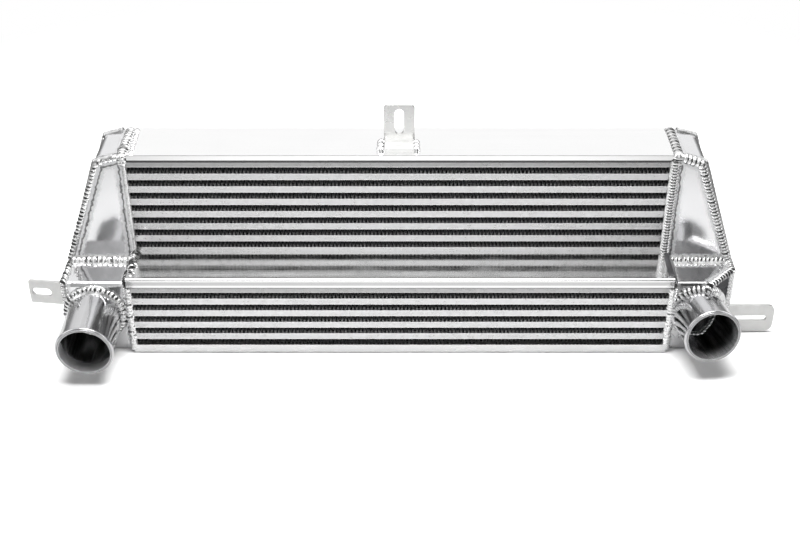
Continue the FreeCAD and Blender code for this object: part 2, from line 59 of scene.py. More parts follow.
# Studio
# A plain white floor in a white room, which polished metal sees greyer and dim on the side
# where the camera stands. A wide soft lamp hangs overhead, a second one lights the floor but
# doesn't show in the metal, and two weak ones fill in.
floor_size = 3.0
floor_level = 0.97
mirrored_floor_level = 0.56
far_floor_level = 0.20
mirrored_floor_half_width = 0.62
mirrored_floor_half_depth = 0.50
mirrored_floor_start = 0.72
mirrored_floor_end = 1.10
lit_floor_reach = 0.55
white_floor_reach = 0.90
room_level = 0.10
dim_levels = ((0.0, 0.28), (0.14, 0.31), (0.24, 0.90), (0.755, 1.00), (0.83, 0.09), (1.0, 0.09))
new_stop_place = 0.5
dim_gain = 1.35
dim_reach = 0.30
horizon_level = 0.31
horizon_start = 0.12
horizon_end = 0.34
dim_side_way = Vector((0.0, -0.80, 0.60))
dim_side_start = 0.45
dim_side_full = 0.92
white = (1.0, 1.0, 1.0, 1.0)


def new_material(name):
    material = bpy.data.materials.new(name)
    material.use_nodes = True
    material.node_tree.nodes.clear()
    return material


def add_node(tree, kind, **settings):
    node = tree.nodes.new(kind)
    for key, value in settings.items():
        setattr(node, key, value)
    return node


def link(tree, source, target):
    tree.links.new(source, target)


def eased(tree, start, stop, low=0.0, high=1.0):
    """Node that eases from low to high while its value goes from start to stop."""
    node = add_node(tree, "ShaderNodeMapRange", interpolation_type="SMOOTHSTEP")
    node.inputs["From Min"].default_value = start
    node.inputs["From Max"].default_value = stop
    node.inputs["To Min"].default_value = low
    node.inputs["To Max"].default_value = high
    return node


def ramp(tree, value, start, stop, low, high):
    """Socket that eases from low to high while value goes from start to stop."""
    node = eased(tree, start, stop, low, high)
    link(tree, value, node.inputs["Value"])
    return node.outputs["Result"]


def product(tree, first, second):
    node = add_node(tree, "ShaderNodeMath", operation="MULTIPLY")
    link(tree, first, node.inputs[0])
    link(tree, second, node.inputs[1])
    return node.outputs[0]


def larger(tree, first, second):
    node = add_node(tree, "ShaderNodeMath", operation="MAXIMUM")
    link(tree, first, node.inputs[0])
    link(tree, second, node.inputs[1])
    return node.outputs[0]


floor_mesh = bpy.data.meshes.new("studio_floor")
corners = [(-floor_size, -floor_size, 0), (floor_size, -floor_size, 0),
           (floor_size, floor_size, 0), (-floor_size, floor_size, 0)]
floor_mesh.from_pydata(corners, [], [(0, 1, 2, 3)])
floor = bpy.data.objects.new("studio_floor", floor_mesh)
scene.collection.objects.link(floor)

floor_paint = new_material("floor_paint")
tree = floor_paint.node_tree
spot = add_node(tree, "ShaderNodeTexCoord")
seen = add_node(tree, "ShaderNodeLightPath")
reached = add_node(tree, "ShaderNodeVectorMath", operation="MULTIPLY")
reached.inputs[1].default_value = (1.0 / mirrored_floor_half_width, 1.0 / mirrored_floor_half_depth, 0.0)
away = add_node(tree, "ShaderNodeVectorMath", operation="LENGTH")
from_middle = add_node(tree, "ShaderNodeVectorMath", operation="LENGTH")
paint_level = add_node(tree, "ShaderNodeMix", data_type="FLOAT")
paint_level.inputs["A"].default_value = floor_level
paint = add_node(tree, "ShaderNodeBsdfDiffuse")
backdrop = add_node(tree, "ShaderNodeEmission")
floor_or_backdrop = add_node(tree, "ShaderNodeMixShader")
output = add_node(tree, "ShaderNodeOutputMaterial")
link(tree, spot.outputs["Object"], reached.inputs[0])
link(tree, reached.outputs["Vector"], away.inputs[0])
link(tree, spot.outputs["Object"], from_middle.inputs[0])
mirrored_floor = ramp(tree, away.outputs["Value"], mirrored_floor_start, mirrored_floor_end,
                      mirrored_floor_level, far_floor_level)
far_floor = ramp(tree, from_middle.outputs["Value"], lit_floor_reach, white_floor_reach, 0.0, 1.0)
far_and_seen = product(tree, far_floor, seen.outputs["Is Camera Ray"])
link(tree, seen.outputs["Is Glossy Ray"], paint_level.inputs["Factor"])
link(tree, mirrored_floor, paint_level.inputs["B"])
link(tree, paint_level.outputs["Result"], paint.inputs["Color"])
link(tree, far_and_seen, floor_or_backdrop.inputs[0])
link(tree, paint.outputs[0], floor_or_backdrop.inputs[1])
link(tree, backdrop.outputs[0], floor_or_backdrop.inputs[2])
link(tree, floor_or_backdrop.outputs[0], output.inputs["Surface"])
floor_mesh.materials.append(floor_paint)

world = bpy.data.worlds.new("studio_room")
scene.world = world
world.use_nodes = True
tree = world.node_tree
tree.nodes.clear()
way = add_node(tree, "ShaderNodeTexCoord")
split_way = add_node(tree, "ShaderNodeSeparateXYZ")
towards = add_node(tree, "ShaderNodeVectorMath", operation="DOT_PRODUCT")
towards.inputs[1].default_value = dim_side_way.normalized()
across = add_node(tree, "ShaderNodeMapRange")
across.inputs["From Min"].default_value = -dim_reach
across.inputs["From Max"].default_value = dim_reach
dim_level = add_node(tree, "ShaderNodeValToRGB")
stops = dim_level.color_ramp.elements
while len(stops) < len(dim_levels):
    stops.new(new_stop_place)
for stop, (position, level) in zip(stops, dim_levels):
    stop.position = position
    stop.color = (level, level, level, 1.0)
gained = add_node(tree, "ShaderNodeMath", operation="MULTIPLY")
gained.inputs[1].default_value = dim_gain
side = eased(tree, dim_side_start, dim_side_full)
path = add_node(tree, "ShaderNodeLightPath")
mirrored_room = add_node(tree, "ShaderNodeMix", data_type="FLOAT")
mirrored_room.inputs["A"].default_value = room_level
seen_room = add_node(tree, "ShaderNodeMix", data_type="FLOAT")
seen_room.inputs["B"].default_value = 1.0
room = add_node(tree, "ShaderNodeBackground")
room.inputs["Color"].default_value = white
world_output = add_node(tree, "ShaderNodeOutputWorld")
link(tree, way.outputs["Generated"], split_way.inputs["Vector"])
link(tree, way.outputs["Generated"], towards.inputs[0])
link(tree, split_way.outputs["X"], across.inputs["Value"])
link(tree, across.outputs["Result"], dim_level.inputs["Fac"])
link(tree, dim_level.outputs["Color"], gained.inputs[0])
horizon = ramp(tree, split_way.outputs["Z"], horizon_start, horizon_end, horizon_level, 1.0)
camera_or_clear = larger(tree, path.outputs["Is Camera Ray"], path.outputs["Is Transmission Ray"])
link(tree, horizon, side.inputs["To Min"])
link(tree, gained.outputs[0], side.inputs["To Max"])
link(tree, towards.outputs["Value"], side.inputs["Value"])
link(tree, path.outputs["Is Glossy Ray"], mirrored_room.inputs["Factor"])
link(tree, side.outputs["Result"], mirrored_room.inputs["B"])
link(tree, camera_or_clear, seen_room.inputs["Factor"])
link(tree, mirrored_room.outputs["Result"], seen_room.inputs["A"])
link(tree, seen_room.outputs["Result"], room.inputs["Strength"])
link(tree, room.outputs[0], world_output.inputs["Surface"])


def soft_lamp(name, place, aim, width, height, power, mirrored=True):
    data = bpy.data.lights.new(name, "AREA")
    data.shape = "RECTANGLE"
    data.size = width
    data.size_y = height
    data.energy = power
    lamp = bpy.data.objects.new(name, data)
    lamp.location = place
    lamp.rotation_euler = (Vector(aim) - Vector(place)).to_track_quat("-Z", "Y").to_euler()
    lamp.visible_glossy = mirrored
    scene.collection.objects.link(lamp)


lamps = (
    {"name": "overhead_lamp", "place": (0.0, 0.10, 1.5), "aim": (0.0, -0.05, 0.0),
     "width": 1.3, "height": 0.8, "power": 26.0},
    {"name": "floor_lamp", "place": (0.0, -0.14, 1.3), "aim": (0.0, -0.06, 0.0),
     "width": 0.9, "height": 0.5, "power": 17.0, "mirrored": False},
    {"name": "left_lamp", "place": (-1.7, -0.5, 0.9), "aim": (0.0, 0.0, 0.1),
     "width": 0.8, "height": 1.2, "power": 5.0},
    {"name": "right_lamp", "place": (1.7, -0.5, 0.9), "aim": (0.0, 0.0, 0.1),
     "width": 0.8, "height": 1.2, "power": 5.0},
)
for lamp_facts in lamps:
    soft_lamp(**lamp_facts)

# Brazed core: closure bars, header bars and parting sheets
# Long extruded bars close the charge layers front and rear, short ones close the air rows at
# each end, and thin clad sheets lie between them. All are aluminium, brazed in one stack, so
# they keep a dull drawn finish with fine marks along the core.
oxide_raggedness = 240.0
oxide_detail = 2.0
oxide_wander = 0.0040
oxide_start = 0.0010
oxide_full = 0.0022
oxide_stop = 0.0024
oxide_end = 0.0036
oxide_tone = 0.25
dull_band_start = 0.0030
dull_band_end = 0.0100
dull_band_level = 0.42
streak_detail = 4.0
patch_detail = 3.0
noise_share = 0.5
noise_low = 0.3
noise_high = 0.7
least_roughness = 0.02
crease_shade_start = 0.30
crease_shade_full = 0.66
satin_edge = 0.0002
satin_end = 0.0056


def distance_to_runs(tree, place, runs):
    """Socket with the distance from a surface point to the nearest of some straight seams."""
    nearest = None
    for start, stop in runs:
        along = Vector(stop) - Vector(start)
        from_start = add_node(tree, "ShaderNodeVectorMath", operation="SUBTRACT")
        from_start.inputs[1].default_value = start
        share = add_node(tree, "ShaderNodeVectorMath", operation="DOT_PRODUCT")
        share.inputs[1].default_value = along / along.length_squared
        held = add_node(tree, "ShaderNodeClamp")
        foot = add_node(tree, "ShaderNodeVectorMath", operation="SCALE")
        foot.inputs[0].default_value = along
        gap = add_node(tree, "ShaderNodeVectorMath", operation="DISTANCE")
        link(tree, place, from_start.inputs[0])
        link(tree, from_start.outputs["Vector"], share.inputs[0])
        link(tree, share.outputs["Value"], held.inputs["Value"])
        link(tree, held.outputs["Result"], foot.inputs["Scale"])
        link(tree, from_start.outputs["Vector"], gap.inputs[0])
        link(tree, foot.outputs["Vector"], gap.inputs[1])
        if nearest is None:
            nearest = gap.outputs["Value"]
        else:
            smaller = add_node(tree, "ShaderNodeMath", operation="MINIMUM")
            link(tree, nearest, smaller.inputs[0])
            link(tree, gap.outputs["Value"], smaller.inputs[1])
            nearest = smaller.outputs[0]
    return nearest


def add_weld_marks(tree, place, seams, tone, dullness, line_at):
    """Dark oxide line beside each bead and a dull band beyond it, both with uneven edges."""
    gap = distance_to_runs(tree, place, seams)
    ragged = add_node(tree, "ShaderNodeTexNoise")
    ragged.inputs["Scale"].default_value = oxide_raggedness
    ragged.inputs["Detail"].default_value = oxide_detail
    shifted = add_node(tree, "ShaderNodeMath", operation="MULTIPLY_ADD")
    shifted.inputs[1].default_value = oxide_wander
    link(tree, place, ragged.inputs["Vector"])
    link(tree, ragged.outputs["Fac"], shifted.inputs[0])
    link(tree, gap, shifted.inputs[2])
    edge = shifted.outputs[0]
    inner = ramp(tree, edge, line_at + oxide_start, line_at + oxide_full, 1.0, oxide_tone)
    outer = ramp(tree, edge, line_at + oxide_stop, line_at + oxide_end, 0.0, 1.0)
    line = larger(tree, inner, outer)
    dull = ramp(tree, edge, line_at + dull_band_start, line_at + dull_band_end, dull_band_level, 0.0)
    return product(tree, tone, line), larger(tree, dullness, dull)


def painted_row_shade(tree, place, rows):
    """Socket with painted shade: light at the foot of each fin row, dark at its top under the bar."""
    split = add_node(tree, "ShaderNodeSeparateXYZ")
    above = add_node(tree, "ShaderNodeMath", operation="SUBTRACT")
    above.inputs[1].default_value = rows["base"]
    within = add_node(tree, "ShaderNodeMath", operation="FLOORED_MODULO")
    within.inputs[1].default_value = rows["pitch"]
    link(tree, place, split.inputs["Vector"])
    link(tree, split.outputs["Z"], above.inputs[0])
    link(tree, above.outputs[0], within.inputs[0])
    return ramp(tree, within.outputs[0], 0.0, rows["light_share"] * rows["height"], 1.0, rows["painted_shade_tone"])


def mark(runs, start, stop, near, far=1.0):
    """Change of tone along some runs: near up to the distance start, and far from stop on."""
    return runs, start, stop, near, far


def metal(name, colour, roughness, grain=(6.0, 260.0, 260.0), grain_depth=0.00002,
          spread=0.10, shade=0.10, blotch=22.0, seams=(), crease_shade_tone=None, marks=(), rows=None,
          satin=None):
    """Bare aluminium: drawn grain, slow patches of dullness and small changes of tone.

    seams holds (runs, distance) pairs, each with a weld's oxide line at that distance. marks
    holds changes of tone from mark(). satin is (axis, mouth, radius, polish): inside that
    radius of the axis the face is satin, with that share of polish, near the mouth.
    """
    material = new_material(name)
    tree = material.node_tree
    place = add_node(tree, "ShaderNodeTexCoord")
    stretch = add_node(tree, "ShaderNodeMapping")
    stretch.inputs["Scale"].default_value = grain
    streaks = add_node(tree, "ShaderNodeTexNoise")
    streaks.inputs["Scale"].default_value = 1.0
    streaks.inputs["Detail"].default_value = streak_detail
    patches = add_node(tree, "ShaderNodeTexNoise")
    patches.inputs["Scale"].default_value = blotch
    patches.inputs["Detail"].default_value = patch_detail
    dullness = add_node(tree, "ShaderNodeMapRange")
    dullness.inputs["From Min"].default_value = noise_low
    dullness.inputs["From Max"].default_value = noise_high
    dullness.inputs["To Min"].default_value = max(least_roughness, roughness - spread)
    dullness.inputs["To Max"].default_value = roughness + spread
    mixed = add_node(tree, "ShaderNodeMath", operation="MULTIPLY_ADD")
    mixed.inputs[1].default_value = noise_share
    tone = add_node(tree, "ShaderNodeMapRange")
    tone.inputs["From Min"].default_value = noise_low
    tone.inputs["From Max"].default_value = noise_high
    tone.inputs["To Min"].default_value = 1.0 - shade
    tone.inputs["To Max"].default_value = 1.0
    tint = add_node(tree, "ShaderNodeVectorMath", operation="SCALE")
    tint.inputs[0].default_value = colour
    relief = add_node(tree, "ShaderNodeBump")
    relief.inputs["Strength"].default_value = 1.0
    relief.inputs["Distance"].default_value = grain_depth
    surface = add_node(tree, "ShaderNodeBsdfPrincipled")
    surface.inputs["Metallic"].default_value = 1.0
    result = add_node(tree, "ShaderNodeOutputMaterial")
    halved = add_node(tree, "ShaderNodeMath", operation="MULTIPLY")
    halved.inputs[1].default_value = noise_share
    link(tree, place.outputs["Object"], stretch.inputs["Vector"])
    link(tree, stretch.outputs["Vector"], streaks.inputs["Vector"])
    link(tree, place.outputs["Object"], patches.inputs["Vector"])
    link(tree, patches.outputs["Fac"], halved.inputs[0])
    link(tree, streaks.outputs["Fac"], mixed.inputs[0])
    link(tree, halved.outputs[0], mixed.inputs[2])
    link(tree, mixed.outputs[0], dullness.inputs["Value"])
    link(tree, mixed.outputs[0], tone.inputs["Value"])
    brightness = tone.outputs["Result"]
    dull = dullness.outputs["Result"]
    for runs, line_at in seams:
        brightness, dull = add_weld_marks(tree, place.outputs["Object"], runs, brightness, dull, line_at)
    # Weld puddles are painted darker towards their leading ends: painted shade in the creases.
    if crease_shade_tone is not None:
        rim = add_node(tree, "ShaderNodeAttribute", attribute_name="rim")
        painted_crease_shade = ramp(tree, rim.outputs["Fac"], crease_shade_start, crease_shade_full, 1.0, crease_shade_tone)
        brightness = product(tree, brightness, painted_crease_shade)
    for runs, start, stop, near, far in marks:
        gap = distance_to_runs(tree, place.outputs["Object"], runs)
        brightness = product(tree, brightness, ramp(tree, gap, start, stop, near, far))
    if satin:
        axis, mouth, radius, polish = satin
        from_axis = distance_to_runs(tree, place.outputs["Object"], axis)
        from_mouth = distance_to_runs(tree, place.outputs["Object"], mouth)
        outside = ramp(tree, from_axis, radius, radius + satin_edge, 0.0, 1.0)
        deeper = ramp(tree, from_mouth, radius + satin_edge, radius + satin_end, polish, 1.0)
        link(tree, larger(tree, outside, deeper), surface.inputs["Metallic"])
    if rows:
        brightness = product(tree, brightness, painted_row_shade(tree, place.outputs["Object"], rows))
    link(tree, brightness, tint.inputs["Scale"])
    link(tree, tint.outputs["Vector"], surface.inputs["Base Color"])
    link(tree, dull, surface.inputs["Roughness"])
    link(tree, streaks.outputs["Fac"], relief.inputs["Height"])
    link(tree, relief.outputs["Normal"], surface.inputs["Normal"])
    link(tree, surface.outputs["BSDF"], result.inputs["Surface"])
    return material


def dress(name, material):
    node = nodes[name]
    node.data.materials.clear()
    node.data.materials.append(material)


core_low, core_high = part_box("core_top_plate")
ledge_low, ledge_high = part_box("core_ledge_plate")
upper_bars_low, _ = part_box("front_bars_upper")
lower_bars_low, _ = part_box("front_bars_lower")
lip_runs = [
    ((core_low.x, upper_bars_low.y, core_low.z), (core_high.x, upper_bars_low.y, core_low.z)),
    ((core_low.x, lower_bars_low.y, ledge_low.z), (core_high.x, lower_bars_low.y, ledge_low.z)),
]
# Painted shadow under the lips of the top plate and the ledge: a dark line, then a grey band.
painted_lip_shadows = [mark(lip_runs, start=0.0012, stop=0.0022, near=0.08),
               mark(lip_runs, start=0.0056, stop=0.0066, near=0.66)]
bar_metal = metal("bar_metal", colour=(0.76, 0.76, 0.76), roughness=0.30, shade=0.26, blotch=160.0,
                  marks=painted_lip_shadows)
sheet_metal = metal("parting_sheet_metal", colour=(0.88, 0.88, 0.88), roughness=0.30, shade=0.24,
                    blotch=160.0, marks=painted_lip_shadows)
for name in nodes:
    if "_bars" in name:
        dress(name, bar_metal)
    if name.startswith("parting_sheets"):
        dress(name, sheet_metal)

# Air fins and turbulators
# Thin rolled sheet, corrugated and brazed between the parting sheets. The rows stay dark
# because light reaches only their front edges, and each row is painted from light at its
# foot to dark at its top, as painted shade under the bar above.
fin_low, fin_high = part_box("air_fin_row_01")
next_fin_low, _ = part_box("air_fin_row_02")
fin_rows = {"base": fin_low.z, "height": fin_high.z - fin_low.z, "pitch": next_fin_low.z - fin_low.z,
            "light_share": 0.55, "painted_shade_tone": 0.16}
fin_metal = metal("fin_metal", colour=(0.80, 0.80, 0.80), roughness=0.36, grain=(200.0, 40.0, 200.0),
                  rows=fin_rows)
for name in nodes:
    if name.startswith("air_fin") or name.startswith("turbulators"):
        dress(name, fin_metal)

# Core plates
# Thicker sheet over the top, the step and the bottom of the stack, with folded lips. It is
# finely brushed along the core.
core_ledge_fold = ledge_high.z - 0.0049
notch_x = core_low.x + 0.0030
notch_top = core_high.z - 0.0010
brushed = (3.0, 420.0, 420.0)


def level_run(y, z):
    return [((core_low.x, y, z), (core_high.x, y, z))]


notch = [((notch_x, core_low.y, core_low.z), (notch_x, core_low.y, notch_top))]
# Painted shade on the top plate: a dark line along its lower front edge, a grey line along its upper one and
# a dark line down a notch near its left end; on the ledge's lip, grey lines under the fold and along its
# lower edge.
top_painted_shade = [mark(level_run(core_low.y, core_low.z), start=0.0012, stop=0.0019, near=0.10),
             mark(level_run(core_low.y, core_high.z), start=0.0003, stop=0.0009, near=0.62),
             mark(notch, start=0.0010, stop=0.0016, near=0.05)]
ledge_painted_shade = [mark(level_run(ledge_low.y, core_ledge_fold), start=0.0015, stop=0.0024, near=0.60),
               mark(level_run(ledge_low.y, ledge_low.z), start=0.0006, stop=0.0012, near=0.62)]
top_metal = metal("core_top_metal", colour=(0.98, 0.98, 0.98), roughness=0.09, grain=brushed,
                  grain_depth=0.00001, spread=0.04, shade=0.03, marks=top_painted_shade)
plate_metal = metal("core_plate_metal", colour=(0.94, 0.94, 0.94), roughness=0.26, grain=brushed,
                    shade=0.16)
ledge_metal = metal("core_ledge_metal", colour=(0.96, 0.96, 0.96), roughness=0.16, grain=brushed,
                    marks=ledge_painted_shade)
dress("core_top_plate", top_metal)
dress("core_bottom_plate", plate_metal)
dress("core_ledge_plate", ledge_metal)

# End tanks
# Flat and folded sheet, three millimetres thick, polished almost to a mirror before it was
# welded. The sheet is a little wavy, and the heat of welding left it dull beside each seam.
upper_low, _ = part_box("right_tank_upper_front")
lower_low, lower_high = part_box("right_tank_ledge_and_front")
_, shell_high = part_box("right_tank_shell")
bottom_low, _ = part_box("right_tank_bottom_plate")
_, rear_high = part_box("right_tank_rear_plate")
core_end = core_high.x
core_top = core_high.z
core_ledge = ledge_high.z
plate_front = upper_low.y
tank_rear = rear_high.y
tank_ledge = lower_high.z
tank_front = lower_low.y
tank_side = shell_high.x
tank_base = bottom_low.z
cap_run = 0.025
cap_drop = 0.005
cap_rounding = 0.0012
slope_foot = 0.077
cut_across = 0.0255
cut_back = 0.022
fold_depth = 0.0045
seam_line_at = 0.0030
outer_line_at = {"left": 0.0062, "right": 0.0050}
shoulder = (core_end + cap_run - cap_rounding, core_top - cap_drop - cap_rounding)
SIDES = {"left": -1.0, "right": 1.0}


def tank_seams(word, side):
    """Straight seams round a tank's visible plates, with the distance to their oxide lines."""
    def at(x, y, z):
        return (side * x, y, z)

    corner_y = tank_front + (cut_back if side > 0.0 else 0.0)
    outer = [
        (at(core_end, plate_front, core_top), at(shoulder[0], plate_front, shoulder[1])),
        (at(shoulder[0], plate_front, shoulder[1]), at(tank_side, plate_front, slope_foot)),
    ]
    seams = [
        (at(core_end, plate_front, tank_ledge), at(core_end, plate_front, core_top)),
        (at(core_end, plate_front, core_top), at(core_end, tank_rear, core_top)),
        (at(core_end, plate_front, tank_ledge), at(tank_side, plate_front, tank_ledge)),
        (at(core_end, plate_front, tank_ledge), at(core_end, tank_front, tank_ledge)),
        (at(core_end, tank_front, tank_base), at(core_end, tank_front, tank_ledge)),
        (at(tank_side, plate_front, tank_ledge), at(tank_side, corner_y, tank_ledge)),
        (at(tank_side, corner_y, tank_base), at(tank_side, corner_y, tank_ledge)),
    ]
    if side > 0.0:
        cut_end = at(tank_side - cut_across, tank_front, tank_ledge)
        seams.append((at(tank_side, corner_y, tank_ledge), cut_end))
    return [(seams, seam_line_at), (outer, outer_line_at[word])]


# The right tank's ledge fold is painted darker, as painted shade over its highlight.
right_fold = [((core_end, tank_front, tank_ledge), (tank_side - cut_across, tank_front, tank_ledge))]
painted_fold_shade = {"left": (), "right": [mark(right_fold, start=0.0034, stop=0.0052, near=0.40)]}
for word, side in SIDES.items():
    tank_metal = metal(word + "_tank_metal", colour=(0.86, 0.86, 0.87), roughness=0.12,
                       grain=(14.0, 14.0, 14.0), grain_depth=0.0004, spread=0.05, shade=0.10,
                       blotch=60.0, seams=tank_seams(word, side), marks=painted_fold_shade[word])
    for name in nodes:
        if name.startswith(word + "_tank_") and "weld" not in name:
            dress(name, tank_metal)
# The right tank's cut corner plate is painted near black, as a painted dark reflection.
corner_reflection_metal = metal("corner_plate_painted_reflection", colour=(0.055, 0.055, 0.06), roughness=0.34,
                     grain=(60.0, 60.0, 300.0), shade=0.40, blotch=90.0)
dress("right_tank_corner_plate", corner_reflection_metal)

# Step strip
# A narrow strip of sheet lies over the joint between the core's ledge and the lower ledge of
# the right tank. It is bent to the step between them and coloured dark.
strip_above = 0.0014
strip_below = 0.0004
strip_bend = 0.0004
strip_end_gap = 0.0005
strip_ends = (
    {"y": tank_front + strip_end_gap, "inner": -0.0045, "outer": 0.0048},
    {"y": plate_front - strip_end_gap, "inner": -0.0030, "outer": 0.0070},
)
strip_corners = []
for end in strip_ends:
    section = ((core_end + end["inner"], core_ledge), (core_end + strip_bend, core_ledge),
               (core_end + end["outer"], tank_ledge))
    for x, z in section:
        strip_corners += [(x, end["y"], z + strip_above), (x, end["y"], z - strip_below)]
strip_faces = [(0, 2, 3, 1), (2, 4, 5, 3), (6, 7, 9, 8), (8, 9, 11, 10), (0, 6, 8, 2), (2, 8, 10, 4),
               (1, 3, 9, 7), (3, 5, 11, 9), (0, 1, 7, 6), (4, 10, 11, 5)]
strip_mesh = bpy.data.meshes.new("right_step_strip")
strip_mesh.from_pydata(strip_corners, [], strip_faces)
strip_metal = metal("step_strip_metal", colour=(0.26, 0.26, 0.27), roughness=0.34,
                    grain=(400.0, 8.0, 400.0), shade=0.50, blotch=120.0)
strip_mesh.materials.append(strip_metal)
strip = bpy.data.objects.new("right_step_strip", strip_mesh)
scene.collection.objects.link(strip)
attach(strip, "root")

# Hose pipes
# Drawn tube, polished outside and satin in the bore, with a low rolled rim that keeps the
# hose from slipping off. The end is cut square and its edges are broken.
pipe_facts = {
    "left": {"offset": 0.0330, "length": 0.0580, "polish": 0.40,
             "yaw": 0.0, "rise": math.radians(-3.0)},
    "right": {"offset": 0.0263, "length": 0.0470, "polish": 0.74,
              "yaw": math.radians(7.0), "rise": math.radians(6.5)},
}
pipe_height = 0.0418
pipe_radius = 0.0254
bore_radius = 0.0234
axis_back = 0.08
axis_forward = 0.10
mouth_length = 0.001
bore_wall_gap = 0.0001
end_face_start = bore_radius + 0.0003
end_face_full = bore_radius + 0.0006
end_face_shade_tone = 0.42
rim_edge_start = pipe_radius - 0.0005
rim_edge_full = pipe_radius - 0.0001
rim_edge_gain = 2.38


def pipe_axis(word, side):
    """Point where a pipe's axis leaves its tank, and the axis pointing out of the mouth."""
    facts = pipe_facts[word]
    level = math.cos(facts["rise"])
    way = Vector((side * math.sin(facts["yaw"]) * level, -math.cos(facts["yaw"]) * level,
                  math.sin(facts["rise"])))
    return Vector((side * (core_end + facts["offset"]), tank_front, pipe_height)), way


for word, side in SIDES.items():
    start, way = pipe_axis(word, side)
    axis = [(tuple(start - way * axis_back), tuple(start + way * axis_forward))]
    facts = pipe_facts[word]
    end = start + way * facts["length"]
    mouth = [(tuple(end), tuple(end + way * mouth_length))]
    # The pipe's cut end face is painted darker as painted shade; the gain past the outer edge brings the
    # outside back to its own tone.
    painted_end_face_shade = [mark(axis, start=end_face_start, stop=end_face_full, near=1.0, far=end_face_shade_tone),
                 mark(axis, start=rim_edge_start, stop=rim_edge_full, near=1.0, far=rim_edge_gain)]
    pipe_metal = metal(word + "_pipe_metal", colour=(0.70, 0.70, 0.71), roughness=0.17,
                       grain=(220.0, 9.0, 220.0), grain_depth=0.00008, spread=0.06, shade=0.22,
                       blotch=30.0, marks=painted_end_face_shade,
                       satin=(axis, mouth, bore_radius + bore_wall_gap, facts["polish"]))
    dress(word + "_hose_pipe", pipe_metal)

# Brackets
# Strips of aluminium, each folded to an angle, punched with a slot and welded on by its foot
# or flange. They keep the satin finish of the rolling mill.
rolled = (40.0, 40.0, 8.0)
foot_length = 0.0152
foot_polish = 0.78
bracket_low, bracket_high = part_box("top_bracket")
foot_front = [((bracket_low.x, bracket_low.y, bracket_low.z),
               (bracket_high.x, bracket_low.y, bracket_low.z))]
bracket_metal = metal("bracket_metal", colour=(0.72, 0.72, 0.71), roughness=0.38, grain=rolled,
                      shade=0.24, blotch=90.0)
top_bracket_metal = metal("top_bracket_metal", colour=(0.96, 0.96, 0.95), roughness=0.26, grain=rolled,
                          shade=0.20, blotch=160.0, satin=(foot_front, foot_front, foot_length, foot_polish))
dress("left_side_bracket", bracket_metal)
dress("right_side_bracket", bracket_metal)
dress("top_bracket", top_bracket_metal)

# Weld beads
# Every seam is closed by hand with filler rod, one puddle after the other, so each bead is a
# row of overlapping round ripples. The right tank's beads are even and the left tank's rough.
as_welded = (500.0, 500.0, 500.0)
# The puddles carry painted shade in the creases between their ripples.
weld_metal = metal("weld_metal", colour=(0.96, 0.96, 0.96), roughness=0.26, grain=as_welded,
                   grain_depth=0.00005, spread=0.08, shade=0.12, blotch=200.0, crease_shade_tone=0.07)
crease_metal = metal("weld_crease_metal", colour=(0.90, 0.90, 0.90), roughness=0.30,
                     grain=(300.0, 300.0, 300.0), shade=0.50, blotch=260.0)
bracket_weld_metal = metal("bracket_weld_metal", colour=(0.90, 0.90, 0.90), roughness=0.30,
                           grain=as_welded, grain_depth=0.0002, shade=0.45, blotch=320.0)
for name in nodes:
    if "weld" in name:
        dress(name, bracket_weld_metal if "bracket" in name else crease_metal)
puddle_segments = 12
puddle_rings = 6
most_sway = (1.0, 1.0, 1.0)
least_sway = (-1.0, -1.0, -1.0)
most_swell = (0.6, 0.6, 0.6)
least_swell = (-0.6, -0.6, -0.3)
usual_tilt = 0.5


def geometry_node(tree, kind, inputs=(), **settings):
    """Geometry node with its settings, linked from the sockets in inputs by name."""
    node = tree.nodes.new(kind)
    for key, value in settings.items():
        setattr(node, key, value)
    for key, source in dict(inputs).items():
        tree.links.new(source, node.inputs[key])
    return node


